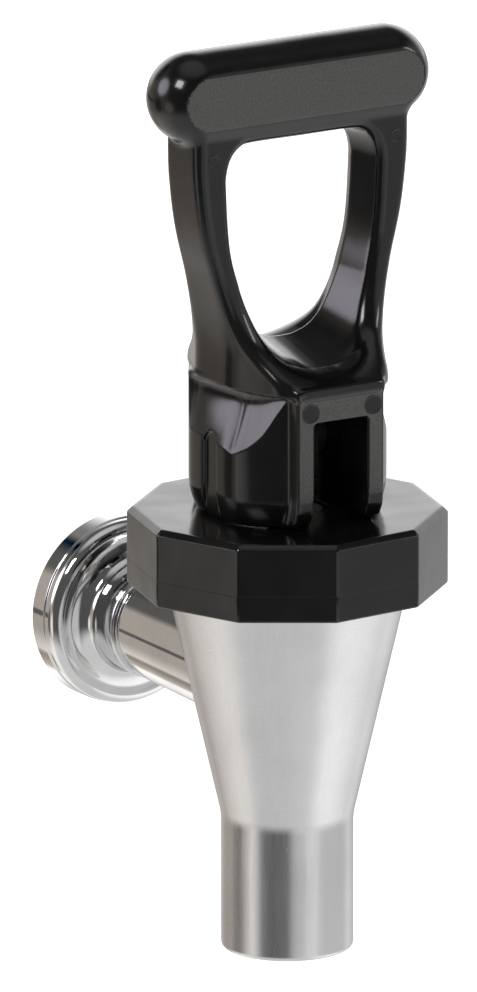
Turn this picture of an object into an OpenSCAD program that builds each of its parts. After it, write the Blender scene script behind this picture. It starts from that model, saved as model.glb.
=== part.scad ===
// Self-closing dispensing tap with a lift handle, built as it comes apart on a bench.
// Millimetres. +Z is up, -Y is the front. The origin is the centre of the inlet flange's back face.
// The upright axis of the barrel, bonnet, stem and handle stands body_reach in front of the origin.

/* [Barrel and spout] */
// Distance from the flange's back face to the upright axis of the barrel
body_reach = 48.2; // [44:0.1:60]
// Outer radius of the straight spout
spout_r = 9.5; // [9:0.1:11]
// Radius of the water way inside the spout
spout_bore_r = 7.6; // [6.8:0.1:8]
// Height of the spout's end below the shank's axis
spout_drop = 39.4; // [34:0.1:50]
// Length of the straight part of the spout
spout_len = 19.7; // [14:0.1:22]
// Outer radius of the cone where it meets the bonnet
cone_top_r = 17.3; // [17.2:0.1:18]
// Wall thickness of the cone
wall = 2.1; // [1.8:0.1:2.4]
// Radius of the hole through the valve seat
seat_hole_r = 6.4; // [5.5:0.1:6.6]

/* [Shank and flange] */
// Radius of the shank where it leaves the flange's hub
shank_r = 8.0; // [7.9:0.1:8.4]
// Radius of the shank where it joins the barrel
shank_root_r = 8.6; // [8.6:0.1:9]
// Radius of the water way through the shank
shank_bore_r = 4.8; // [4:0.1:5]
// Wall radius of the inlet socket, the minor radius of a quarter-inch pipe thread
inlet_r = 5.8; // [5.6:0.05:5.9]
// Depth of the inlet socket
inlet_depth = 8; // [6:0.5:8.5]
// Radius of the flange's rim
flange_r = 13.9; // [13:0.1:15]
// Thickness of the flange from its back face to the crest of its lip
flange_t = 6; // [5.6:0.1:6.4]
// Distance from the flange's back face to the front end of its hub
hub_len = 13; // [12.5:0.1:14]

/* [Bonnet] */
// Number of flat sides on the bonnet
bonnet_sides = 10; // [8:2:12]
// Radius of the bonnet to its corners
bonnet_r = 23; // [22:0.1:25]
// Height of the bonnet's top face above the shank's axis
bonnet_top = 25.8; // [25.6:0.1:26.2]
// Height of the bonnet
bonnet_h = 11.4; // [11.2:0.1:11.6]
// Width of the bevel round the bonnet's top edge
bonnet_bevel = 0.8; // [0.4:0.1:1.2]
// Turn of the bonnet about its own axis, in degrees
bonnet_turn = 4.6; // [0:0.1:36]

/* [Handle] */
// Height of the handle's pin above the bonnet's top face
pin_h = 10.9; // [10.7:0.1:11.2]
// Lift of the pin for each radian that the handle tilts
lift_per_rad = 9; // [8:0.1:9.4]
// Furthest tilt of the handle, in degrees
tilt_max = 22; // [16:1:22]
// Radius of the handle's round foot
foot_r = 14.1; // [13.9:0.1:14.4]
// Width of the flat cheeks at the foot's front and back
cheek_w = 14.4; // [13.6:0.1:15]
// Distance from the upright axis to the flat of each cheek
cheek_d = 14.7; // [14.5:0.1:15]
// Width of the slot that the stem stands in
slot_w = 8.8; // [8.6:0.1:9.2]
// Height of the slot above the bonnet's top face
slot_h = 15.9; // [15.6:0.1:16.2]
// Thickness of the two arms from front to back
arm_t = 9.3; // [8.6:0.1:10]
// Height of the grip bar's axis above the bonnet's top face
grip_h = 62.2; // [60:0.1:66]
// Radius of the grip bar
grip_r = 6.65; // [6.2:0.05:7]
// Length of the grip bar from end to end
grip_len = 45; // [43:0.5:50]
// Distance from the grip bar's axis to the flat pad on its front
pad_d = 5.25; // [4.9:0.05:5.6]

/* [Stem and seals] */
// Radius of the stem
stem_r = 3; // [2.9:0.05:3.1]
// Radius of the handle's pin
pin_r = 1.35; // [1.2:0.05:1.5]
// Mean radius of the closing spring
spring_r = 5.9; // [5.6:0.1:6]
// Radius of the spring's wire
wire_r = 0.5; // [0.4:0.05:0.7]
// Number of turns in the closing spring
spring_turns = 6; // [5:0.5:7]

/* [Hidden] */
$fn = 96;
chrome = [0.80, 0.81, 0.82];
black = [0.05, 0.05, 0.05];
steel = [0.66, 0.67, 0.69];
silicone = [0.86, 0.85, 0.80];
rubber = [0.12, 0.12, 0.12];
acetal = [0.10, 0.10, 0.10];
nylon = [0.90, 0.89, 0.84];
// Running clearance of a shaft in its hole
run_gap = 0.05;
// Clearance between a fixed piece and the hole it sits in
fit_gap = 0.03;
// Gap under faces that part company when the valve opens
seat_gap = 0.05;
// Overrun of a cut past the face it opens
eps = 1;
// Levels inside the valve, measured from the shank's axis
cone_foot_z = spout_len - spout_drop;
bonnet_foot = bonnet_top - bonnet_h;
neck_foot = bonnet_foot - 0.1;
neck_r = 16.9;
spigot_r = 7.2;
body_top = 19.5;
recess_r = 11.4;
recess_d = 2;
rim_ledge = 17.9;
rim_r = 15.3;
seat_z = -8;
floor_z = -9;
throat_z = -12.5;
plate_z = 22;
guide_z = 21;
washer_z = 9.2;
washer_t = 1;
pin_z = bonnet_top + pin_h;
heel_gap = 0.1;
eye_t = 5;

// Outer radius of the cone at a height z
function cone_r(z) = spout_r + (cone_top_r - spout_r) * (z - cone_foot_z) / (neck_foot - cone_foot_z);

// Puts its children on the barrel's upright axis
module on_axis() {
    translate([0, -body_reach, 0]) children();
}

// Turns a solid of revolution, drawn as radius and distance in front of the origin, on to the shank's axis
module on_shank() {
    rotate([90, 0, 0]) rotate_extrude() children();
}

// Flat ring about +Z
module ring(outer, inner, z0, height) {
    translate([0, 0, z0]) difference() {
        cylinder(r = outer, h = height);
        translate([0, 0, -eps]) cylinder(r = inner, h = height + 2 * eps);
    }
}

// Cast body: barrel, straight spout and shank in one piece, with the valve seat inside
module faucet_body() {
    lip = 0.6;
    groove_r = 6.3;
    groove_s = 9.6;
    groove_w = 1.2;
    color(chrome) difference() {
        union() {
            on_axis() rotate_extrude() polygon([
                [0, -spout_drop],
                [spout_r - lip, -spout_drop],
                [spout_r, lip - spout_drop],
                [spout_r, cone_foot_z],
                [cone_top_r, neck_foot],
                [neck_r, neck_foot],
                [neck_r, body_top],
                [0, body_top],
            ]);
            translate([0, -hub_len, 0]) rotate([90, 0, 0])
                cylinder(r1 = shank_r, r2 = shank_root_r, h = body_reach - hub_len);
            rotate([90, 0, 0]) cylinder(r = spigot_r, h = hub_len + eps);
        }
        on_axis() rotate_extrude() polygon([
            [0, -spout_drop - eps],
            [spout_bore_r, -spout_drop - eps],
            [spout_bore_r, throat_z - 1.5],
            [seat_hole_r, throat_z],
            [seat_hole_r, seat_z],
            [seat_hole_r + 1.8, seat_z],
            [seat_hole_r + 1.8, floor_z],
            [cone_r(floor_z) - wall, floor_z],
            [cone_r(13) - wall - 0.4, 13],
            [cone_r(13) - wall - 0.4, rim_ledge],
            [rim_r + 0.1, rim_ledge],
            [rim_r + 0.1, body_top + eps],
            [0, body_top + eps],
        ]);
        translate([0, eps, 0]) rotate([90, 0, 0]) cylinder(r = inlet_r, h = inlet_depth + eps);
        translate([0, eps, 0]) rotate([90, 0, 0]) cylinder(r = shank_bore_r, h = body_reach - 6 + eps);
        on_shank() translate([groove_r, groove_s]) square([2, groove_w]);
        on_shank() translate([spigot_r - 0.5, 1]) square([2, 1]);
    }
}

// Points of an arc about (cx, cy) from one angle to another
function arc(cx, cy, r, from, to, steps) =
    [for (i = [0:steps]) let (a = from + (to - from) * i / steps) [cx + r * cos(a), cy + r * sin(a)]];

// Stepped flange with a dished front and a hub that sits on the shank's spigot
module inlet_flange() {
    edge = 0.8;
    bead = 1.3;
    lip_r = flange_r - 1.6;
    hub_bore = spigot_r + run_gap;
    color(chrome) on_shank() difference() {
        polygon(concat(
            [[hub_bore, 0], [flange_r - edge, 0]],
            arc(flange_r - edge, edge, edge, -90, 0, 6),
            [[flange_r, 2.5], [flange_r - 0.45, 2.95], [flange_r - 0.45, 3.25]],
            arc(lip_r, 4.6, bead, 0, 75, 6),
            [[lip_r, flange_t], [lip_r - 0.6, flange_t - 0.2]],
            [[10.6, 5.5], [9.6, 5.6], [8.9, 6.1], [8.4, 7], [8.2, 8], [8.2, hub_len], [hub_bore, hub_len]]
        ));
        translate([spigot_r, -eps]) square([recess_r - spigot_r, recess_d + eps]);
    }
}

// Sealing washer let into the flange's back face
module flange_gasket() {
    inner = 8.5;
    color(rubber) on_shank() translate([inner, 0]) square([recess_r - run_gap - inner, recess_d - fit_gap]);
}

// O-ring that seals the flange's hub on the shank's spigot
module shank_o_ring() {
    section_r = 0.44;
    color(rubber) on_shank() translate([6.78, 10.2]) circle(r = section_r, $fn = 32);
}

// Split ring in the spigot's groove, which keeps the flange on
module flange_snap_ring() {
    split = 3;
    color(steel) difference() {
        on_shank() translate([spigot_r - 0.45, 1.05]) square([1.4, 0.9]);
        translate([-split / 2, -2.5, -spigot_r - 4]) cube([split, 3, 5]);
    }
}

// Half-width from the middle of a flat side of the bonnet
bonnet_flat = bonnet_r * cos(180 / bonnet_sides);

// Ten-sided cap that screws over the barrel's neck
module bonnet() {
    color(black) on_axis() difference() {
        rotate(bonnet_turn) translate([0, 0, bonnet_foot]) difference() {
            cylinder(r = bonnet_r, h = bonnet_h, $fn = bonnet_sides);
            for (i = [0:bonnet_sides - 1])
                rotate((i + 0.5) * 360 / bonnet_sides)
                    translate([bonnet_flat, 0, bonnet_h - bonnet_bevel]) rotate([0, -45, 0])
                        translate([0, -bonnet_r, 0]) cube([4, 2 * bonnet_r, 4]);
        }
        translate([0, 0, bonnet_foot - eps]) cylinder(r = neck_r + fit_gap, h = 20.2 - bonnet_foot + eps);
        translate([0, 0, 20]) cylinder(r = 12.6, h = plate_z - 20);
        cylinder(r = 5 + fit_gap, h = bonnet_top + eps);
    }
}

// Thin ring that lets the bonnet turn without dragging the boot's rim
module slip_ring() {
    color(nylon) on_axis() ring(rim_r + 1, 12.8, body_top + 0.03, 0.62);
}

// Flanged bush that guides the stem through the bonnet
module stem_guide() {
    color(nylon) on_axis() difference() {
        union() {
            translate([0, 0, guide_z]) cylinder(r = 7.4, h = plate_z - guide_z - fit_gap);
            translate([0, 0, guide_z]) cylinder(r = 5, h = bonnet_top - 0.3 - guide_z);
        }
        translate([0, 0, guide_z - eps]) cylinder(r = stem_r + run_gap, h = 8);
    }
}

// Height of the spring's wire at a fraction t of its length, with closed end turns
function spring_rise(t) =
    let (lead = 1 / spring_turns)
    t < lead ? 0.18 * t / lead
    : t > 1 - lead ? 1 - 0.18 * (1 - t) / lead
    : 0.18 + 0.64 * (t - lead) / (1 - 2 * lead);

// Compression spring between the guide's flange and the stem's washer
module closing_spring() {
    steps = 24 * spring_turns;
    sides = 8;
    low = washer_z + washer_t + seat_gap + wire_r;
    high = guide_z - seat_gap - wire_r;
    points = [for (i = [0:steps], k = [0:sides - 1])
        let (turn = 360 * spring_turns * i / steps, side = 360 * k / sides)
        let (r = spring_r + wire_r * cos(side))
        [r * cos(turn), r * sin(turn), low + (high - low) * spring_rise(i / steps) + wire_r * sin(side)]];
    walls = [for (i = [0:steps - 1], k = [0:sides - 1])
        let (a = i * sides + k, b = i * sides + (k + 1) % sides)
        [a, a + sides, b + sides, b]];
    first = [for (k = [0:sides - 1]) k];
    last = [for (k = [sides - 1:-1:0]) steps * sides + k];
    color(steel) on_axis() polyhedron(points, concat(walls, [first, last]));
}

// Soft plug on the stem's foot, which shuts the seat
module seat_plug() {
    color(silicone) on_axis() rotate_extrude() polygon([
        [0, seat_z + seat_gap],
        [9, seat_z + seat_gap],
        [9.4, seat_z + 1.2],
        [8.4, seat_z + 3],
        [6.2, seat_z + 3.8],
        [5.8, -0.6],
        [2.6, -0.6],
        [2.6, -2.7],
        [4.3, -2.7],
        [4.3, -4.75],
        [0, -4.75],
    ]);
}

// Flexible boot clamped at its rim, which keeps the drink off the spring
module stem_boot() {
    skin = 0.9;
    color(silicone) on_axis() rotate_extrude() polygon([
        [stem_r + run_gap, 4.2],
        [5, 4.2],
        [5.4, 5.6],
        [9.2, 5.9],
        [10, 7],
        [10.4, 11],
        [12.2, 13],
        [12.6, rim_ledge + 0.02],
        [rim_r, rim_ledge + 0.02],
        [rim_r, body_top],
        [11.9, body_top],
        [11.3, 14],
        [9.4, 11.6],
        [9, 7 + skin / 2],
        [8.6, 5.9 + skin],
        [stem_r + run_gap, 5.6 + skin],
    ]);
}

// Stem with a button foot, a clip groove and a flat eye for the handle's pin
module valve_stem() {
    eye_r = 4.3;
    neck = 2.5;
    shaft_top = bonnet_top + 6.5;
    color(acetal) on_axis() difference() {
        union() {
            translate([0, 0, -4.65]) cylinder(r = 4.2, h = 1.85);
            translate([0, 0, -4]) cylinder(r = neck, h = 8);
            translate([0, 0, 3]) cylinder(r = stem_r, h = shaft_top - 3);
            intersection() {
                translate([-eye_t / 2, -eye_r, shaft_top - 4]) cube([eye_t, 2 * eye_r, pin_z - shaft_top + 4]);
                translate([0, 0, shaft_top - 4]) cylinder(r1 = stem_r, r2 = stem_r + 8, h = 12);
            }
            translate([-eye_t / 2, 0, pin_z]) rotate([0, 90, 0]) cylinder(r = eye_r, h = eye_t);
        }
        translate([-eye_t, 0, pin_z]) rotate([0, 90, 0]) cylinder(r = pin_r + run_gap, h = 2 * eye_t);
        ring(stem_r + 1, 2.4, washer_z - 0.95, 0.9);
    }
}

// Washer that the spring bears on
module spring_washer() {
    color(steel) on_axis() ring(7.6, stem_r + fit_gap, washer_z, washer_t);
}

// Open clip in the stem's groove, under the washer
module stem_clip() {
    color(steel) on_axis() difference() {
        ring(5.2, 2.43, washer_z - 0.9, 0.8);
        translate([-2, 0, washer_z - 2]) cube([4, 8, 3]);
    }
}

// Point of the heel's curve under the pin when the handle is tilted by an angle, as distance and height
function heel(angle) =
    let (h = pin_h - heel_gap + lift_per_rad * angle * PI / 180)
    [lift_per_rad * cos(angle) + h * sin(angle), pin_h + lift_per_rad * sin(angle) - h * cos(angle)];

// Front half of the handle's side view: heel curve, then the flat cheek, then the slope up to the arms
heel_steps = 11;
heel_side = [for (i = [0:heel_steps]) heel(tilt_max * i / heel_steps)];
front_side = concat(
    [[0, heel_gap]],
    heel_side,
    [[cheek_d - 0.25, 2.6], [cheek_d, 4.2], [cheek_d, 20.8], [13.1, 22.05], [11.1, 23.6], [9.25, 25.1]],
    [[7.4, 27.1], [5.95, 30.4], [5.1, 34.5], [arm_t / 2, 38.6], [arm_t / 2, grip_h], [0, grip_h]]
);

// Extrudes a side view, drawn as distance to the front and height, across the width
module across(width) {
    rotate([90, 0, -90]) translate([0, 0, -width / 2]) linear_extrude(width) children();
}

// Extrudes a front view, drawn as distance to the right and height, through the depth
module through(depth) {
    rotate([90, 0, 0]) translate([0, 0, -depth / 2]) linear_extrude(depth) children();
}

// Draws a plane figure and its mirror image
module both_ways() {
    children();
    mirror([1, 0]) children();
}

// Outer edge of the arms and the finger window, right half, as distance and height
arm_outer = [[12.8, 20], [12.75, 24.5], [13.1, 27.5], [13.9, 31.4], [15.1, 36.2], [16.1, 40.5], [16.8, 44.5],
             [17.2, 49], [17.35, 53], [17.2, 58]];
window_side = [[0, 24.4], [2.5, 24.65], [5.1, 25.8], [7.3, 27.9], [9.1, 30.9], [10.75, 34.9], [11.75, 38.8],
               [12.3, 43], [12.6, 48.5], [12.6, 52.3], [11.8, 54.5], [9.8, 55.4], [0, 55.5]];

// Side view of the foot, as radius and height
foot_side = [[0, 0], [12.9, 0], [13.3, 1], [13.7, 2.6], [foot_r, 5], [foot_r, 20.2], [12, 20.2],
             [12, 24], [0, 24]];
// Hollow cut into the foot's side under each shoulder, as radius and height
scoop_side = [[foot_r + 1, 11.2], [foot_r, 11.2], [12.7, 13.4], [11.7, 16.2], [11.4, 18.2], [12.5, 20.2],
              [foot_r + 1, 20.2]];
// Angle where each hollow starts, from the side towards the front, and the angle it runs through
scoop_from = -56;
scoop_sweep = 80;
// Plan of the shoulders, right half, as distance to the right and to the back
shoulder_foot = 19.9;
shoulder_plan = [[0, -cheek_d], [7.8, -cheek_d], [12.5, -5.4], [13.9, -arm_t / 2], [17.4, -arm_t / 2],
                 [17.4, arm_t / 2], [13.9, arm_t / 2], [12.5, 5.4], [7.8, cheek_d], [0, cheek_d]];
// Distance from the upright axis to the flat on each side of the foot, and to the groove's floor in it
side_flat = 13.2;
groove_floor = 12.5;
groove_half = 1.75;

// One-piece handle: round foot with a rocking heel, slotted cheeks, two arms and a grip bar
module handle() {
    grip_end = grip_len / 2 - grip_r;
    color(black) on_axis() translate([0, 0, bonnet_top]) difference() {
        union() {
            intersection() {
                across(4 * foot_r) both_ways() polygon(front_side);
                union() {
                    difference() {
                        rotate_extrude() polygon(foot_side);
                        for (side = [0, 1]) mirror([side, 0, 0]) {
                            translate([side_flat, -foot_r, -eps]) cube([4, 2 * foot_r, 40]);
                            rotate(scoop_from) rotate_extrude(angle = scoop_sweep) polygon(scoop_side);
                        }
                    }
                    translate([-cheek_w / 2, -2 * foot_r, 0]) cube([cheek_w, 4 * foot_r, 21.4]);
                    intersection() {
                        through(4 * foot_r) both_ways() polygon(concat([[0, 20]], arm_outer, [[0, 58]]));
                        translate([0, 0, shoulder_foot]) linear_extrude(grip_h - shoulder_foot) both_ways()
                            polygon(shoulder_plan);
                    }
                }
            }
            translate([-grip_end, 0, grip_h]) rotate([0, 90, 0]) cylinder(r = grip_r, h = 2 * grip_end);
            for (side = [-1, 1]) translate([side * grip_end, 0, grip_h]) sphere(r = grip_r);
        }
        through(4 * foot_r) both_ways() polygon(window_side);
        translate([-grip_len, -grip_r - pad_d, grip_h - grip_r]) cube([2 * grip_len, grip_r, 2 * grip_r]);
        translate([-slot_w / 2, -2 * foot_r, -eps]) cube([slot_w, 4 * foot_r, slot_h + eps]);
        translate([-2 * foot_r, 0, pin_h]) rotate([0, 90, 0]) cylinder(r = pin_r + 0.01, h = 4 * foot_r);
        for (side = [0, 1]) mirror([side, 0, 0]) pin_groove();
    }
}

// Upright groove in the foot's side, round-topped above the end of the pin
module pin_groove() {
    translate([groove_floor, 0, pin_h]) rotate([0, 90, 0]) cylinder(r = groove_half, h = 3);
    translate([groove_floor, -groove_half, -eps]) cube([3, 2 * groove_half, pin_h + eps]);
}

// Cross pin through the foot and the stem's eye
module handle_pin() {
    length = 2 * groove_floor - 0.4;
    color(acetal) on_axis() translate([-length / 2, 0, pin_z]) rotate([0, 90, 0]) cylinder(r = pin_r, h = length);
}

// Two spacers on the pin, one on each side of the stem's eye
module pin_spacers() {
    side_gap = 0.1;
    thick = slot_w / 2 - eye_t / 2 - 1.5 * side_gap;
    middle = eye_t / 2 + side_gap + thick / 2;
    color(acetal) on_axis() for (side = [-1, 1])
        translate([side * middle - thick / 2, 0, pin_z]) rotate([0, 90, 0]) difference() {
            cylinder(r = 3.6, h = thick);
            translate([0, 0, -eps]) cylinder(r = pin_r + fit_gap, h = thick + 2 * eps);
        }
}

faucet_body();
inlet_flange();
flange_gasket();
shank_o_ring();
flange_snap_ring();
bonnet();
slip_ring();
stem_guide();
closing_spring();
seat_plug();
stem_boot();
valve_stem();
spring_washer();
stem_clip();
handle();
handle_pin();
pin_spacers();
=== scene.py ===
"""Looks for the dispenser tap: chrome body and flange, black ten-sided bonnet and black lift handle."""

import math

import bmesh
import bpy
import numpy as np
import openvdb
from mathutils import Matrix, Vector


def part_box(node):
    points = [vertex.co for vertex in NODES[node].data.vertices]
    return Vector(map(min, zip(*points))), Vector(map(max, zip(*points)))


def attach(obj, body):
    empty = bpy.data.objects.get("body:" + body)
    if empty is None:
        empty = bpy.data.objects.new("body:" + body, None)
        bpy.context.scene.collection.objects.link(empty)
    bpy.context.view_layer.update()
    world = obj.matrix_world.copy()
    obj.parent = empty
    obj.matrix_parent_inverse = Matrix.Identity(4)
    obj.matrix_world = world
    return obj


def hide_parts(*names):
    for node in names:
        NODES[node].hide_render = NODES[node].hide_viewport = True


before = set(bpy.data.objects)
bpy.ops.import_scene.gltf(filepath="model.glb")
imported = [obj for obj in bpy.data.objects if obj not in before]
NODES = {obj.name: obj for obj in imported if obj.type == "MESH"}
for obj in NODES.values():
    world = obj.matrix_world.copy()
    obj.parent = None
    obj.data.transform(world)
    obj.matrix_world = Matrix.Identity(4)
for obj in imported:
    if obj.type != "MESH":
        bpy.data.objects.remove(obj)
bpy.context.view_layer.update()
MM = 0.001


# ---------------------------------------------------------------- places taken from the frame

def box_mm(node):
    low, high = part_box(node)
    return [v / MM for v in low], [v / MM for v in high]


bonnet_low, bonnet_high = box_mm("bonnet")
body_low = box_mm("faucet_body")[0]
flange_low, flange_high = box_mm("inlet_flange")
pin_low, pin_high = box_mm("handle_pin")

BONNET_TOP = bonnet_high[2]
BONNET_FOOT = bonnet_low[2]
AXIS_Y = (pin_low[1] + pin_high[1]) / 2
PIN_H = (pin_low[2] + pin_high[2]) / 2 - BONNET_TOP
SPOUT_END = body_low[2]
HUB_END = flange_low[1]


# ---------------------------------------------------------------- node graph helpers

class Graph:
    """Small helper that adds nodes to one material and links them."""

    def __init__(self, name):
        self.mat = bpy.data.materials.new(name)
        self.mat.use_nodes = True
        self.tree = self.mat.node_tree
        self.shader = self.tree.nodes["Principled BSDF"]
        self.coord = self.add("ShaderNodeTexCoord").outputs["Object"]

    def add(self, kind, **props):
        node = self.tree.nodes.new(kind)
        for key, value in props.items():
            setattr(node, key, value)
        return node

    def link(self, a, b):
        self.tree.links.new(a, b)

    def fixed(self, **values):
        for key, value in values.items():
            self.shader.inputs[key.replace("_", " ")].default_value = value

    def mapped(self, scale):
        node = self.add("ShaderNodeMapping")
        node.inputs["Scale"].default_value = scale
        self.link(self.coord, node.inputs["Vector"])
        return node.outputs["Vector"]

    def noise(self, scale, detail=3.0, roughness=0.5, vector=None):
        node = self.add("ShaderNodeTexNoise")
        node.inputs["Scale"].default_value = scale
        node.inputs["Detail"].default_value = detail
        node.inputs["Roughness"].default_value = roughness
        self.link(vector or self.coord, node.inputs["Vector"])
        return node.outputs["Fac"]

    def between(self, value, low, high, from_low=0.0, from_high=1.0):
        node = self.add("ShaderNodeMapRange")
        node.inputs["From Min"].default_value = from_low
        node.inputs["From Max"].default_value = from_high
        node.inputs["To Min"].default_value = low
        node.inputs["To Max"].default_value = high
        self.link(value, node.inputs["Value"])
        return node.outputs["Result"]

    def ramp(self, value, stops):
        node = self.add("ShaderNodeValToRGB")
        ramp = node.color_ramp
        while len(ramp.elements) < len(stops):
            ramp.elements.new(0.5)
        for element, (place, colour) in zip(ramp.elements, stops):
            element.position = place
            element.color = (*colour, 1.0)
        self.link(value, node.inputs["Fac"])
        return node.outputs["Color"]

    def bump(self, height, strength, distance_mm, normal=None):
        node = self.add("ShaderNodeBump")
        node.inputs["Strength"].default_value = strength
        node.inputs["Distance"].default_value = distance_mm * MM
        self.link(height, node.inputs["Height"])
        if normal is not None:
            self.link(normal, node.inputs["Normal"])
        return node.outputs["Normal"]

    def finish(self, colour=None, roughness=None, normal=None):
        if colour is not None:
            self.link(colour, self.shader.inputs["Base Color"])
        if roughness is not None:
            self.link(roughness, self.shader.inputs["Roughness"])
        if normal is not None:
            self.link(normal, self.shader.inputs["Normal"])
        return self.mat


# ---------------------------------------------------------------- materials

def bright_chrome():
    """Mirror plate on the flange and shank: faint polishing swirl and a little tarnish."""
    g = Graph("bright_chrome")
    g.fixed(Metallic=1.0)
    cloud = g.noise(160, 4)
    colour = g.ramp(cloud, [(0.25, (0.66, 0.66, 0.66)), (0.7, (0.76, 0.76, 0.76))])
    rough = g.between(g.noise(420, 3), 0.035, 0.10)
    wave = g.bump(g.noise(150, 2), 0.12, 0.10)
    fine = g.bump(g.noise(1800, 2), 0.03, 0.01, wave)
    return g.finish(colour, rough, fine)


def barrel_chrome():
    """Plate over a cast barrel: softer, with upright buffing marks and small pits."""
    g = Graph("barrel_chrome")
    g.fixed(Metallic=1.0, Specular_Tint=(0.72, 0.72, 0.73, 1))
    cloud = g.noise(90, 4)
    colour = g.ramp(cloud, [(0.25, (0.66, 0.66, 0.665)), (0.75, (0.76, 0.76, 0.76))])
    brushed = g.noise(1.0, 3, 0.6, g.mapped((1500, 1500, 90)))
    rough = g.between(brushed, 0.22, 0.34)
    waves = g.bump(g.noise(1.0, 2, 0.5, g.mapped((260, 260, 30))), 0.10, 0.10)
    marks = g.bump(brushed, 0.08, 0.02, waves)
    pits = g.add("ShaderNodeTexVoronoi", feature="F1")
    pits.inputs["Scale"].default_value = 420
    g.link(g.coord, pits.inputs["Vector"])
    dots = g.between(pits.outputs["Distance"], 0.0, 1.0, 0.05, 0.12)
    pitted = g.bump(dots, 0.25, 0.03, marks)
    return g.finish(colour, rough, pitted)


def gloss_black(name="gloss_black", low=0.10, high=0.20):
    """Moulded black plastic with a slightly wavy gloss."""
    g = Graph(name)
    g.fixed(IOR=1.5)
    cloud = g.noise(120, 4)
    colour = g.ramp(cloud, [(0.3, (0.003, 0.003, 0.003)), (0.7, (0.007, 0.0065, 0.006))])
    rough = g.between(g.noise(300, 4), low, high)
    sink = g.bump(g.noise(55, 2), 0.5, 0.6)
    wave = g.bump(g.noise(170, 2), 0.12, 0.12, sink)
    fine = g.bump(g.noise(1400, 3), 0.10, 0.02, wave)
    return g.finish(colour, rough, fine)


def grained_black():
    """Fine spark-eroded grain on the grip's pad and the cheeks' flats."""
    g = Graph("grained_black")
    g.fixed(IOR=1.5)
    grain = g.noise(3200, 4, 0.6)
    colour = g.ramp(grain, [(0.35, (0.040, 0.040, 0.038)), (0.7, (0.075, 0.074, 0.070))])
    rough = g.between(g.noise(900, 3), 0.42, 0.56)
    normal = g.bump(grain, 0.45, 0.05)
    return g.finish(colour, rough, normal)


def plain_steel():
    """Drawn stainless wire and stampings."""
    g = Graph("plain_steel")
    g.fixed(Metallic=1.0)
    lines = g.noise(1.0, 3, 0.6, g.mapped((300, 2600, 2600)))
    colour = g.ramp(lines, [(0.3, (0.50, 0.50, 0.51)), (0.7, (0.66, 0.66, 0.67))])
    rough = g.between(lines, 0.22, 0.36)
    return g.finish(colour, rough, g.bump(lines, 0.15, 0.02))


def soft_silicone():
    """Milky silicone of the plug and boot."""
    g = Graph("soft_silicone")
    g.fixed(IOR=1.41, Subsurface_Weight=0.3, Subsurface_Radius=(0.004, 0.003, 0.002))
    cloud = g.noise(200, 3)
    colour = g.ramp(cloud, [(0.3, (0.72, 0.70, 0.64)), (0.7, (0.80, 0.78, 0.73))])
    rough = g.between(g.noise(700, 3), 0.38, 0.52)
    return g.finish(colour, rough, g.bump(g.noise(1500, 3), 0.15, 0.02))


def dull_rubber():
    """Matt black rubber of the gasket and O-ring."""
    g = Graph("dull_rubber")
    g.fixed(IOR=1.5)
    cloud = g.noise(500, 4)
    colour = g.ramp(cloud, [(0.3, (0.018, 0.018, 0.018)), (0.7, (0.035, 0.034, 0.033))])
    rough = g.between(g.noise(900, 3), 0.62, 0.78)
    return g.finish(colour, rough, g.bump(g.noise(2400, 4), 0.35, 0.05))


def turned_acetal():
    """Black acetal with faint turning rings along its length."""
    g = Graph("turned_acetal")
    g.fixed(IOR=1.48)
    rings = g.noise(1.0, 2, 0.5, g.mapped((60, 60, 5200)))
    colour = g.ramp(rings, [(0.3, (0.010, 0.010, 0.010)), (0.7, (0.018, 0.018, 0.018))])
    rough = g.between(rings, 0.32, 0.44)
    return g.finish(colour, rough, g.bump(rings, 0.2, 0.03))


def milky_nylon():
    """Natural nylon of the slip ring and the guide bush."""
    g = Graph("milky_nylon")
    g.fixed(IOR=1.53, Subsurface_Weight=0.15, Subsurface_Radius=(0.002, 0.0015, 0.001))
    cloud = g.noise(350, 3)
    colour = g.ramp(cloud, [(0.3, (0.66, 0.64, 0.57)), (0.7, (0.76, 0.74, 0.68))])
    rough = g.between(g.noise(900, 3), 0.34, 0.46)
    return g.finish(colour, rough, g.bump(g.noise(2000, 3), 0.12, 0.02))


CHROME = bright_chrome()
BARREL = barrel_chrome()
GLOSS = gloss_black()
GRAIN = grained_black()
STEEL = plain_steel()
SILICONE = soft_silicone()
RUBBER = dull_rubber()
ACETAL = turned_acetal()
NYLON = milky_nylon()


# ---------------------------------------------------------------- mesh helpers

def new_object(name, verts_mm, faces, materials, smooth=True):
    mesh = bpy.data.meshes.new(name)
    mesh.from_pydata([tuple(c * MM for c in v) for v in verts_mm], [], faces)
    mesh.validate()
    mesh.update()
    for polygon in mesh.polygons:
        polygon.use_smooth = smooth
    obj = bpy.data.objects.new(name, mesh)
    bpy.context.scene.collection.objects.link(obj)
    for material in materials:
        mesh.materials.append(material)
    return obj


def even_normals(obj):
    """Lets large faces keep flat shading next to small rounded edges."""
    modifier = obj.modifiers.new("even_normals", "WEIGHTED_NORMAL")
    modifier.mode = "FACE_AREA"
    modifier.weight = 60
    modifier.keep_sharp = True
    return obj


def rounded(profile, radii, steps=4):
    """Rounds the corners of an open outline; radii gives one radius for each point, 0 to keep it sharp."""
    out = []
    for i, point in enumerate(profile):
        radius = radii[i]
        if radius == 0 or i in (0, len(profile) - 1):
            out.append(point)
            continue
        corner = Vector(point)
        back = Vector(profile[i - 1]) - corner
        ahead = Vector(profile[i + 1]) - corner
        reach = min(radius, 0.49 * back.length, 0.49 * ahead.length)
        start = corner + back.normalized() * reach
        end = corner + ahead.normalized() * reach
        for k in range(steps + 1):
            t = k / steps
            out.append(tuple(start * (1 - t) ** 2 + corner * 2 * t * (1 - t) + end * t ** 2))
    return out


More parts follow.
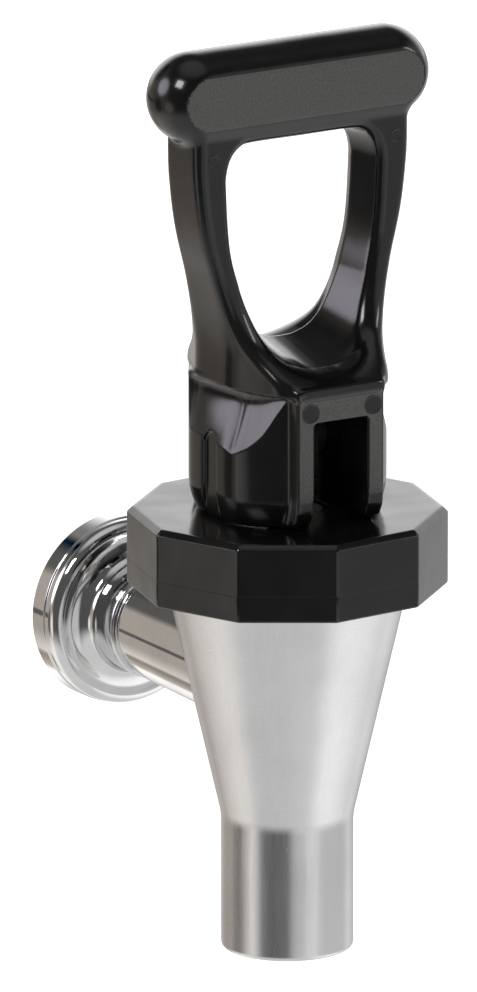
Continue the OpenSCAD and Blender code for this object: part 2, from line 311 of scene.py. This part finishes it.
def lathe(name, profile, materials, along="Z", centre=(0.0, 0.0, 0.0), segments=144):
    """Turns an outline of (radius, distance) pairs about +Z, or about -Y for along='Y'."""
    verts = []
    for radius, place in profile:
        for k in range(segments):
            turn = 2 * math.pi * k / segments
            u = radius * math.cos(turn)
            v = radius * math.sin(turn)
            offset = (u, v, place) if along == "Z" else (u, -place, v)
            verts.append(tuple(c + o for c, o in zip(centre, offset)))
    faces = []
    for row in range(len(profile) - 1):
        for k in range(segments):
            a = row * segments + k
            b = row * segments + (k + 1) % segments
            quad = (a, b, b + segments, a + segments)
            faces.append(quad if along == "Z" else quad[::-1])
    obj = new_object(name, verts, faces, materials)
    merge_and_face_out(obj)
    return even_normals(obj)


def merge_and_face_out(obj):
    bm = bmesh.new()
    bm.from_mesh(obj.data)
    bmesh.ops.remove_doubles(bm, verts=bm.verts, dist=1e-7)
    bmesh.ops.recalc_face_normals(bm, faces=bm.faces)
    bm.to_mesh(obj.data)
    bm.free()
    obj.data.update()


def arc(cx, cy, radius, start, end, steps):
    points = []
    for i in range(steps + 1):
        angle = math.radians(start + (end - start) * i / steps)
        points.append((cx + radius * math.cos(angle), cy + radius * math.sin(angle)))
    return points


def spline(points, steps=6):
    """Smooth curve through the points (Catmull-Rom)."""
    points = [Vector(p) for p in points]
    out = []
    for i in range(len(points) - 1):
        p0 = points[max(i - 1, 0)]
        p1, p2 = points[i], points[i + 1]
        p3 = points[min(i + 2, len(points) - 1)]
        for k in range(steps):
            t = k / steps
            out.append(0.5 * (2 * p1 + (p2 - p0) * t + (2 * p0 - 5 * p1 + 4 * p2 - p3) * t ** 2
                              + (3 * p1 - p0 - 3 * p2 + p3) * t ** 3))
    out.append(points[-1])
    return [tuple(p) for p in out]


# ---------------------------------------------------------------- barrel and spout

SPOUT_R = 9.5
SPOUT_BORE_R = 7.6
CONE_FOOT = SPOUT_END + 19.7
CONE_TOP_R = 17.3
SEAT_R = 6.4
SEAT_Z = -8.0


def cone_radius(z):
    return SPOUT_R + (CONE_TOP_R - SPOUT_R) * (z - CONE_FOOT) / (BONNET_FOOT - 0.1 - CONE_FOOT)


def barrel():
    outline = [
        (SEAT_R + 1.5, SEAT_Z),
        (SEAT_R, SEAT_Z),
        (SEAT_R, SEAT_Z - 4.5),
        (SPOUT_BORE_R, SEAT_Z - 6.0),
        (SPOUT_BORE_R, SPOUT_END),
        (SPOUT_R, SPOUT_END),
        (SPOUT_R, CONE_FOOT),
        (cone_radius(BONNET_FOOT - 0.15), BONNET_FOOT - 0.15),
        (16.4, BONNET_FOOT + 0.1),
    ]
    radii = [0, 0.4, 0.5, 0.5, 0.5, 0.75, 0.9, 0.15, 0]
    profile = rounded(outline, radii, 6)
    piece = lathe("barrel", profile, [BARREL], centre=(0, AXIS_Y, 0), segments=192)
    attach(piece, "faucet")
    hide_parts("faucet_body")


# ---------------------------------------------------------------- shank with its fillet on to the barrel

SHANK_R = 8.0
SHANK_ROOT_R = 8.6
FILLET = 1.3
INLET_R = 5.8
WATERWAY_R = 4.8
SPIGOT_R = 7.2
INLET_DEPTH = 8.0


def barrel_surface_y(x, z):
    """Rear surface of the cone at a place across and up, in mm."""
    radius = cone_radius(z)
    return AXIS_Y + math.sqrt(max(radius * radius - x * x, 0.01))


def shank():
    segments = 160
    straight = 14
    bends = 8
    rows = []
    for k in range(segments):
        turn = 2 * math.pi * k / segments
        unit = (math.cos(turn), math.sin(turn))

        def on_surface(radius):
            return barrel_surface_y(radius * unit[0], radius * unit[1])

        root = SHANK_ROOT_R - 0.15
        foot = on_surface(root)
        start = (root, foot + FILLET)
        corner = (root, foot)
        end = (root + FILLET, on_surface(root + FILLET) - 0.02)
        line = [(SHANK_R - 0.25, HUB_END), (SHANK_R, HUB_END - 0.25)]
        for i in range(1, straight):
            t = i / straight
            line.append((SHANK_R + (root - SHANK_R) * t, HUB_END - 0.25 + (start[1] - HUB_END + 0.25) * t))
        for i in range(bends + 1):
            t = i / bends
            line.append(tuple(a * (1 - t) ** 2 + 2 * b * t * (1 - t) + c * t * t
                              for a, b, c in zip(start, corner, end)))
        rows.append([(r * unit[0], y, r * unit[1]) for r, y in line])
    count = len(rows[0])
    verts = [v for row in rows for v in row]
    faces = []
    for k in range(segments):
        ahead = (k + 1) % segments
        for i in range(count - 1):
            faces.append((k * count + i, ahead * count + i, ahead * count + i + 1, k * count + i + 1))
    piece = new_object("shank", verts, faces, [CHROME])
    merge_and_face_out(piece)
    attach(piece, "faucet")


def inlet_socket():
    """Spigot seen in the flange's back, with the socket's thread cut as a row of grooves."""
    pitch = 1.34
    depth = 0.45
    outline = [(SPIGOT_R, 6.0), (SPIGOT_R, 0.0), (INLET_R + 0.5, 0.0)]
    place = 0.5
    while place < INLET_DEPTH - pitch:
        outline += [(INLET_R, place), (INLET_R, place + 0.25), (INLET_R + depth, place + pitch / 2)]
        place += pitch
    outline += [(INLET_R, INLET_DEPTH - 0.6), (INLET_R, INLET_DEPTH),
                (WATERWAY_R, INLET_DEPTH), (WATERWAY_R, 36.0)]
    radii = [0, 0.3, 0.2] + [0.08] * (len(outline) - 6) + [0.1, 0.3, 0]
    piece = lathe("inlet_socket", rounded(outline, radii, 3), [CHROME], along="Y", segments=96)
    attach(piece, "faucet")


# ---------------------------------------------------------------- flange

def flange():
    rim = flange_high[0]
    back = [(SPIGOT_R + 0.05, 2.0), (11.4, 2.0), (11.4, 0.0), (rim - 0.25, 0.0), (rim, 0.25), (rim, 3.25)]
    step = [(rim - 0.18, 3.4), (rim - 0.18, 3.6)]
    crown = arc(rim - 1.9, 4.25, 1.72, 0, 84, 12)
    dish = spline([(rim - 2.1, 5.75), (11.0, 5.75), (10.0, 6.05), (9.2, 6.5), (8.6, 7.1), (8.3, 7.8)], 5)
    hub = [(8.2, 8.3), (8.2, -HUB_END - 0.2), (8.0, -HUB_END), (SHANK_R - 0.1, -HUB_END)]
    outline = back + step + crown + dish + hub
    radii = [0, 0.2, 0.2, 0.15, 0.1, 0.1, 0.08, 0.1] + [0] * (len(crown) + len(dish)) + [0.2, 0.1, 0.1, 0]
    piece = lathe("flange", rounded(outline, radii, 4), [CHROME], along="Y", segments=192)
    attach(piece, "faucet")
    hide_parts("inlet_flange")


# ---------------------------------------------------------------- bonnet

BONNET_R = 23.0
BONNET_SIDES = 10
BONNET_TURN = 4.6
BONNET_BORE = 16.95
PARTING = 0.66


def decagon(radius, inset, corner, steps=5):
    """Ten-sided ring of points with rounded corners, moved in by inset."""
    flat = radius * math.cos(math.pi / BONNET_SIDES) - inset
    reach = flat / math.cos(math.pi / BONNET_SIDES)
    points = []
    for k in range(BONNET_SIDES):
        turn = math.radians(BONNET_TURN) + 2 * math.pi * k / BONNET_SIDES
        spread = math.pi / BONNET_SIDES
        centre_r = reach - corner / math.cos(spread)
        cx, cy = centre_r * math.cos(turn), centre_r * math.sin(turn)
        for i in range(steps + 1):
            angle = turn - spread + 2 * spread * i / steps
            points.append((cx + corner * math.cos(angle), cy + corner * math.sin(angle)))
    return points


def bonnet():
    height = BONNET_TOP - BONNET_FOOT
    bevel = 0.75
    rows = [(3.6, BONNET_FOOT), (0.35, BONNET_FOOT), (0.1, BONNET_FOOT + 0.1), (0.0, BONNET_FOOT + 0.35)]
    seam = BONNET_FOOT + height * (1 - PARTING)
    rows += [(0.0, seam - 0.12), (0.03, seam - 0.04), (0.03, seam + 0.04), (0.0, seam + 0.12)]
    shoulder = [(0.0, BONNET_TOP - bevel - 0.15), (0.05, BONNET_TOP - bevel + 0.05)]
    shoulder += [(bevel - 0.12, BONNET_TOP - 0.1), (bevel + 0.12, BONNET_TOP - 0.01)]
    shoulder += [(bevel + 0.5, BONNET_TOP)]
    rows += shoulder
    verts, faces = [], []
    count = len(decagon(BONNET_R, 0, 0.9))
    for inset, z in rows:
        verts += [(x, y + AXIS_Y, z) for x, y in decagon(BONNET_R, inset, max(0.9 - 0.4 * inset, 0.3))]

    def circle(radius, z):
        start = math.radians(BONNET_TURN) - math.pi / BONNET_SIDES
        step = 2 * math.pi / count
        angles = [start + step * (i + 0.5) for i in range(count)]
        return [(radius * math.cos(turn), AXIS_Y + radius * math.sin(turn), z) for turn in angles]

    inner = [circle(18.2, BONNET_TOP), circle(5.1, BONNET_TOP), circle(5.1, BONNET_TOP - 3.4)]
    under = [circle(BONNET_BORE, BONNET_FOOT + 3), circle(BONNET_BORE, BONNET_FOOT + 0.4),
             circle(BONNET_BORE + 0.4, BONNET_FOOT)]
    ring_rows = under + [verts[i * count:(i + 1) * count] for i in range(len(rows))] + inner
    verts = [v for ring in ring_rows for v in ring]
    for row in range(len(ring_rows) - 1):
        for k in range(count):
            a = row * count + k
            b = row * count + (k + 1) % count
            faces.append((a, b, b + count, a + count))
    piece = new_object("bonnet_cap", verts, faces, [GLOSS])
    merge_and_face_out(piece)
    even_normals(piece)
    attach(piece, "faucet")
    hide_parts("bonnet")


# ---------------------------------------------------------------- handle, as a distance field

STEP = 0.25
FOOT_R = 14.15
SIDE_FLAT = 13.15
CHEEK_HALF = 7.2
CHEEK_D = 14.7
CHEEK_TOP = 20.7
SLOT_HALF = 4.4
SLOT_TOP = 15.9
ARM_HALF_T = 4.65
RIDGE_D = -1.8
GRIP_Z = 62.2
GRIP_R = 6.6
GRIP_HALF = 22.4
PAD_D = 5.25
LIFT_PER_RAD = 9.0
HEEL_GAP = 0.12
HEEL_ROUND = 1.26
HEEL_TOP = 5.0
TILT_MAX = 22.0
GROOVE_HALF = 1.75
GROOVE_FLOOR = 12.55
DRUM_TOP = 20.2
YOKE_FOOT = 19.9
PAD_FOOT = 57.0

ARM_OUTER = [(12.9, 16), (12.75, 21), (12.75, 24.5), (13.1, 27.5), (13.9, 31.4), (15.1, 36.2), (16.3, 40.5),
             (17.1, 44.5), (17.65, 49), (17.9, 53), (17.9, 62)]
WINDOW = [(0, 22.4), (2.7, 22.7), (5.9, 24.2), (8.15, 26.9), (9.6, 30.6), (10.75, 34.9), (11.75, 38.8),
          (12.3, 43), (12.6, 48.5), (12.6, 51.0), (11.9, 53.4), (10.4, 55.0), (8.3, 55.5), (0, 55.5)]
SIDE = [(CHEEK_D, 16.0), (CHEEK_D, 20.8), (13.1, 22.05), (11.1, 23.6), (9.25, 25.1), (7.4, 27.1),
        (5.95, 30.4), (5.1, 34.5), (4.72, 38.6), (ARM_HALF_T, 43.0), (ARM_HALF_T, 62.0)]
SCOOP_EDGE = (spline([(-30, 12.4), (12, 11.5), (23.5, 10.8)])
              + spline([(23.5, 10.8), (33, 11.7), (43, 13.7), (54, 17.6), (62, 19.6), (90, 20.5)])[1:])
SCOOP_DEPTH = [(-31, 0), (-27, 0.7), (-23, 1.1), (0, 2.0), (23.5, 3.0),
               (33, 2.7), (43, 2.0), (54, 0.9), (62, 0)]
SCOOP_RISE = spline([(0, 0), (0.35, 0.55), (0.7, 1.0), (0.85, 1.0), (1.0, 0.8)])


def outline_distance(outline, u, v):
    """Signed distance in a plane to a closed outline; negative inside."""
    u, v = np.broadcast_arrays(u, v)
    best = np.full(u.shape, 1e9)
    inside = np.zeros(u.shape, bool)
    for (ax, ay), (bx, by) in zip(outline, outline[1:] + outline[:1]):
        ex, ey = bx - ax, by - ay
        length2 = ex * ex + ey * ey
        if length2 < 1e-12:
            continue
        t = np.clip(((u - ax) * ex + (v - ay) * ey) / length2, 0, 1)
        best = np.minimum(best, np.hypot(u - ax - t * ex, v - ay - t * ey))
        crosses = (ay > v) != (by > v)
        reach = ax + (v - ay) * ex / (ey if abs(ey) > 1e-12 else 1e-12)
        inside ^= crosses & (u < reach)
    return np.where(inside, -best, best)


def mirrored(half):
    """Closes a right-hand half outline with its mirror image."""
    return half + [(-u, v) for u, v in reversed(half)]


def blend_min(a, b, k):
    h = np.clip(0.5 + 0.5 * (b - a) / k, 0, 1)
    return b + (a - b) * h - k * h * (1 - h)


def soft_step(u, k):
    """Zero for negative u and u for positive u, rounded over a width k."""
    return 0.5 * (u + np.sqrt(u * u + k * k)) - 0.25 * k * np.exp(-(u / k) ** 2)


def blend_max(a, b, k):
    return -blend_min(-a, -b, k)


def heel_point(angle):
    h = PIN_H - HEEL_GAP + LIFT_PER_RAD * angle
    return (LIFT_PER_RAD * math.cos(angle) + h * math.sin(angle),
            PIN_H + LIFT_PER_RAD * math.sin(angle) - h * math.cos(angle))


def handle_field(x, d, z):
    """Distance field of the whole handle: x to the right, d to the front, z above the bonnet's top face."""
    ax, ad = np.abs(x), np.abs(d)
    plane_x, side_d, level = ax[:, 0, :], ad[0, :, :], z[0, :, :]
    hole = outline_distance(mirrored(spline(WINDOW)), plane_x, level)[:, None, :]
    side = outline_distance(mirrored(SIDE[:1] + spline(SIDE[1:])), side_d, level)[None, :, :]
    round_r = np.hypot(x, d)

    # arms and shoulders: the side wall draws in towards the cheeks in front of the arms
    arm_x, arm_z = zip(*spline(ARM_OUTER))
    wall = np.interp(z, arm_z, arm_x) - 0.42 * soft_step(ad - 4.5, 2.5) - 0.5 * soft_step(ad - 12.5, 1.5)
    yoke = blend_max((ax - wall) * 0.93, side, 1.5)
    yoke = blend_max(yoke, YOKE_FOOT - z, 0.4)
    lean = np.interp(z, [24.0, 34.0], [0.25, 0.15])
    reach = np.interp(z, [24.0, 34.0], [9.0, ARM_HALF_T])
    rise_front = np.maximum(reach - d, 0)
    rise_back = (reach - RIDGE_D) * np.clip((d + ARM_HALF_T) / (RIDGE_D + ARM_HALF_T), 0, 1)
    draft = lean * np.where(d > RIDGE_D, rise_front, rise_back)
    soft = np.interp(z, [26.0, 35.0], [2.0, 1.4])
    yoke = blend_max(yoke, -hole - draft, soft)

    # foot: round drum with side flats and a scooped shoulder above each flat
    turn = np.degrees(np.arctan2(d, ax + 1e-6))
    edge = np.interp(turn, *zip(*SCOOP_EDGE))
    depth = np.interp(turn, *zip(*SCOOP_DEPTH))
    rise = np.clip((z - edge) / np.maximum(20.0 - edge, 0.4), 0, 1)
    scoop = depth * np.interp(rise, *zip(*SCOOP_RISE))
    heel_round = HEEL_ROUND * np.clip((HEEL_TOP - z) / HEEL_TOP, 0, 1) ** 2
    drum_wall = round_r - FOOT_R + heel_round + scoop
    drum_flat = ax - SIDE_FLAT + 0.8 * heel_round + scoop
    drum = blend_max(drum_wall, drum_flat, 0.8) * 0.93
    drum = blend_max(drum, z - DRUM_TOP, 0.5)

    # upright groove above the end of the pin, on both sides
    groove = np.maximum(np.hypot(d, np.maximum(z - PIN_H, 0)) - GROOVE_HALF, GROOVE_FLOOR - ax)
    drum = blend_max(drum, -groove, 0.35)

    # flat cheeks at the front and back
    cheek = blend_max(ax - CHEEK_HALF, ad - CHEEK_D, 0.5)
    cheek = blend_max(cheek, z - CHEEK_TOP - 0.15, 0.5)
    foot = blend_min(drum, cheek, 0.7)
    foot = blend_min(foot, yoke, 0.9)

    # rocking heel
    steps = 8
    heel = [(0.0, HEEL_GAP)]
    heel += [heel_point(math.radians(TILT_MAX * i / steps)) for i in range(steps + 1)]
    heel += [(CHEEK_D - 0.2, 2.7), (CHEEK_D, 4.4), (CHEEK_D + 3, 12.0), (CHEEK_D + 3, 80.0)]
    sole = outline_distance(mirrored(heel), side_d, level)[None, :, :]
    foot = blend_max(foot, sole, 0.5)

    # slot for the stem
    slot = blend_max(ax - SLOT_HALF, z - SLOT_TOP, 0.4)
    foot = blend_max(foot, -slot, 0.45)

    # grip bar with its flat pad
    along = np.maximum(ax - (GRIP_HALF - GRIP_R), 0)
    grip = np.sqrt(along ** 2 + d ** 2 + (z - GRIP_Z) ** 2) - GRIP_R
    whole = blend_min(foot, grip, 1.2)
    pad = np.minimum(d - PAD_D, z - PAD_FOOT) + 0 * x
    return blend_max(whole, pad, 0.35)


def sample(field, origin, points):
    """Trilinear value and gradient of a field at points."""
    place = (points - origin) / STEP
    base = np.clip(np.floor(place).astype(int), 0, np.array(field.shape) - 2)
    f = place - base
    value = np.zeros(len(points))
    grad = np.zeros((len(points), 3))
    for i in (0, 1):
        for j in (0, 1):
            for k in (0, 1):
                corner = field[base[:, 0] + i, base[:, 1] + j, base[:, 2] + k]
                wx = f[:, 0] if i else 1 - f[:, 0]
                wy = f[:, 1] if j else 1 - f[:, 1]
                wz = f[:, 2] if k else 1 - f[:, 2]
                value += corner * wx * wy * wz
                grad[:, 0] += corner * (1 if i else -1) * wy * wz
                grad[:, 1] += corner * wx * (1 if j else -1) * wz
                grad[:, 2] += corner * wx * wy * (1 if k else -1)
    return value, grad / STEP


def mesh_field(field_of, low, high):
    """Turns a distance field into a mesh of quads that lie on its zero surface."""
    axes = [np.arange(a, b + STEP, STEP) for a, b in zip(low, high)]
    x = axes[0][:, None, None]
    d = axes[1][None, :, None]
    z = axes[2][None, None, :]
    field = field_of(x, d, z) + 0 * (x + d + z)
    grid = openvdb.FloatGrid(3.0)
    grid.copyFromArray(np.clip(field, -3, 3).astype(np.float32))
    points, quads = grid.convertToQuads(isovalue=0.0)
    origin = np.array([a[0] for a in axes])
    points = points.astype(float) * STEP + origin
    for _ in range(2):
        value, grad = sample(field, origin, points)
        length2 = np.maximum((grad ** 2).sum(1), 0.05)
        move = np.clip(value / length2, -0.15, 0.15)
        points = points - move[:, None] * grad
    return points, quads


def handle():
    margin = 1.2
    low = (-GRIP_HALF - margin, -CHEEK_D - margin, -0.9)
    high = (GRIP_HALF + margin, CHEEK_D + margin, GRIP_Z + GRIP_R + margin)
    points, quads = mesh_field(handle_field, low, high)
    world = np.stack([points[:, 0], AXIS_Y - points[:, 1], BONNET_TOP + points[:, 2]], 1)
    piece = new_object("handle_moulding", world.tolist(), quads.tolist(), [GLOSS, GRAIN])
    merge_and_face_out(piece)
    for polygon in piece.data.polygons:
        centre = polygon.center / MM
        front = AXIS_Y - centre.y
        height = centre.z - BONNET_TOP
        flat = abs(polygon.normal.y) > 0.97
        on_pad = flat and abs(front - PAD_D) < 0.06 and height > PAD_FOOT - 0.5
        on_cheek = flat and abs(abs(front) - CHEEK_D) < 0.12 and height < CHEEK_TOP + 0.2
        polygon.material_index = 1 if (on_pad or on_cheek) else 0
    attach(piece, "lift_handle")
    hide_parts("handle")


def ejector_marks():
    """Shallow round marks on the cheeks' and arms' flats."""
    places = [(-5.1, CHEEK_D, 17.6, 1.45), (5.3, CHEEK_D, 17.6, 1.45),
              (-15.0, ARM_HALF_T, 53.6, 1.0), (15.2, ARM_HALF_T, 53.6, 1.0)]
    for index, (x, d, z, radius) in enumerate(places):
        outline = [(radius, -0.3), (radius, 0.04), (radius - 0.12, 0.07), (radius - 0.24, 0.02), (0.0, 0.02)]
        piece = lathe(f"ejector_mark_{index}", rounded(outline, [0, 0.05, 0.05, 0.05, 0], 3), [GLOSS],
                      along="Y", centre=(x, AXIS_Y - d, BONNET_TOP + z), segments=48)
        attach(piece, "lift_handle")


# ---------------------------------------------------------------- finishes on the CAD pieces that stay

def finish_cad():
    looks = {
        "flange_gasket": RUBBER, "shank_o_ring": RUBBER, "flange_snap_ring": STEEL, "slip_ring": NYLON,
        "stem_guide": NYLON, "closing_spring": STEEL, "seat_plug": SILICONE, "stem_boot": SILICONE,
        "valve_stem": ACETAL, "spring_washer": STEEL, "stem_clip": STEEL, "handle_pin": ACETAL,
        "pin_spacers": ACETAL,
    }
    for name, material in looks.items():
        for slot in NODES[name].material_slots:
            slot.material = material


# ---------------------------------------------------------------- studio

ELEVATION = math.radians(15.1)
AZIMUTH = math.radians(31.4)
VIEW_HEIGHT = 141.7143
LENS = 700
AIM_LEFT = 6.99
AIM_UP = 1.43
FLOOR_HALF = 6000
FLOOR_Z = -160


def camera():
    """Long lens, from the left of the front and a little above, aimed a little left of the upright axis."""
    data = bpy.data.cameras.new("camera")
    data.lens = LENS
    data.sensor_width = 36
    data.clip_end = 50
    obj = bpy.data.objects.new("camera", data)
    bpy.context.scene.collection.objects.link(obj)
    right = Vector((math.cos(AZIMUTH), -math.sin(AZIMUTH), 0))
    ahead = Vector((math.sin(AZIMUTH) * math.cos(ELEVATION), math.cos(AZIMUTH) * math.cos(ELEVATION),
                    -math.sin(ELEVATION)))
    up = right.cross(ahead)
    distance = data.lens / data.sensor_width * VIEW_HEIGHT * MM
    aim = Vector((0, AXIS_Y, BONNET_TOP)) * MM - right * AIM_LEFT * MM + up * AIM_UP * MM
    obj.matrix_world = Matrix.Translation(aim - ahead * distance) @ Matrix(
        (right, up, -ahead)).transposed().to_4x4()
    bpy.context.scene.camera = obj


def area(name, place, target, size, watts):
    data = bpy.data.lights.new(name, "AREA")
    data.shape = "RECTANGLE"
    data.size, data.size_y = size
    data.energy = watts
    obj = bpy.data.objects.new(name, data)
    bpy.context.scene.collection.objects.link(obj)
    obj.location = place
    direction = Vector(target) - Vector(place)
    obj.rotation_euler = direction.to_track_quat("-Z", "Y").to_euler()
    return obj


BACK = math.degrees(math.atan2(math.cos(AZIMUTH), math.sin(AZIMUTH)))


def compass(azimuth, elevation):
    """Unit vector for an azimuth from +X towards +Y and an elevation, both in degrees."""
    a, e = math.radians(azimuth), math.radians(elevation)
    return (math.cos(a) * math.cos(e), math.sin(a) * math.cos(e), math.sin(e))


class Surround:
    """Adds soft patches of light to the world, each placed by direction."""

    def __init__(self, base):
        world = bpy.data.worlds.new("studio")
        bpy.context.scene.world = world
        world.use_nodes = True
        self.tree = world.node_tree
        self.background = self.tree.nodes["Background"]
        coord = self.tree.nodes.new("ShaderNodeTexCoord")
        self.direction = coord.outputs["Generated"]
        start = self.tree.nodes.new("ShaderNodeVectorMath")
        start.operation = "ADD"
        start.inputs[0].default_value = base
        start.inputs[1].default_value = (0, 0, 0)
        self.total = start.outputs["Vector"]

    def along(self, axis, low, high):
        """0 to 1 as the direction's share along an axis goes from low to high."""
        dot = self.tree.nodes.new("ShaderNodeVectorMath")
        dot.operation = "DOT_PRODUCT"
        self.tree.links.new(self.direction, dot.inputs[0])
        dot.inputs[1].default_value = axis
        step = self.tree.nodes.new("ShaderNodeMapRange")
        step.interpolation_type = "SMOOTHSTEP"
        step.inputs["From Min"].default_value = low
        step.inputs["From Max"].default_value = high
        self.tree.links.new(dot.outputs["Value"], step.inputs["Value"])
        return step.outputs["Result"]

    def add(self, colour, *shares):
        """Adds a colour times the product of the shares."""
        value = shares[0]
        for share in shares[1:]:
            product = self.tree.nodes.new("ShaderNodeMath")
            product.operation = "MULTIPLY"
            self.tree.links.new(value, product.inputs[0])
            self.tree.links.new(share, product.inputs[1])
            value = product.outputs["Value"]
        patch = self.tree.nodes.new("ShaderNodeVectorMath")
        patch.operation = "MULTIPLY_ADD"
        patch.inputs[0].default_value = colour
        self.tree.links.new(value, patch.inputs[1])
        self.tree.links.new(self.total, patch.inputs[2])
        self.total = patch.outputs["Vector"]

    def cap(self, colour, azimuth, elevation, inner, outer):
        """A round patch of light with a soft rim."""
        low, high = math.cos(math.radians(outer)), math.cos(math.radians(inner))
        self.add(colour, self.along(compass(azimuth, elevation), low, high))

    def finish(self):
        self.tree.links.new(self.total, self.background.inputs["Color"])


def level(elevation):
    return math.sin(math.radians(elevation))


def grey(value, warmth=0.0):
    return (value * (1 + warmth), value, value * (1 - warmth))


def studio():
    g = Graph("paper_floor")
    g.fixed(Roughness=0.9, Emission_Color=(1, 1, 1, 1), Emission_Strength=0.85)
    g.finish(g.ramp(g.noise(3, 2), [(0.3, (0.92, 0.92, 0.92)), (0.7, (0.94, 0.94, 0.94))]))
    verts = [(x * FLOOR_HALF, y * FLOOR_HALF, FLOOR_Z) for x, y in ((-1, -1), (1, -1), (1, 1), (-1, 1))]
    floor = new_object("floor", verts, [(0, 1, 2, 3)], [g.mat], smooth=False)
    floor.visible_glossy = False

    light = Surround(grey(0.10))
    up = (0, 0, 1)
    down = (0, 0, -1)
    behind = light.along(compass(BACK, 0), 0.60, 0.85)
    below = light.along(down, level(-38), level(-20))
    above = light.along(up, level(-6), level(4))
    light.add(grey(1.5), behind, below, above)
    light.add(grey(0.66), light.along(down, level(19), level(40)))
    light.cap(grey(0.34, 0.14), 125, -10, 38, 62)
    light.cap(grey(0.52), -28, -10, 34, 62)
    light.cap(grey(0.38), BACK, -18, 18, 42)
    light.cap(grey(0.40), 22, -14, 8, 26)
    light.cap(grey(0.75), 178, -16, 4, 15)
    light.cap(grey(0.45), 284, -16, 5, 15)
    light.cap(grey(0.55), 262, -15, 9, 22)
    light.cap((3.7, 3.6, 4.1), 150, 20, 9, 20)
    light.cap(grey(0.5), 0, 90, 10, 34)
    light.cap(grey(-0.34, 0.14), 143, -14, 7, 15)
    light.cap(grey(-0.62), 96, -33, 4, 9)
    light.cap(grey(-0.32, 0.14), 108, 26, 9, 17)
    strip = light.along(up, level(-12.5), level(-11.5))
    light.add(grey(-0.32, 0.14), light.along(compass(108, 0), 0.90, 0.94), strip,
              light.along(down, level(8), level(9)))
    light.finish()

    centre = (0, AXIS_Y * MM, 0.03)
    area("key", (-0.75, -0.25, 0.75), centre, (0.30, 0.30), 3.5)
    area("fill", (0.9, -0.7, 0.55), centre, (0.25, 0.5), 2.0)
    view = bpy.context.scene.view_settings
    view.view_transform = "Standard"
    view.look = "None"


camera()
barrel()
shank()
inlet_socket()
flange()
bonnet()
handle()
ejector_marks()
finish_cad()
studio()
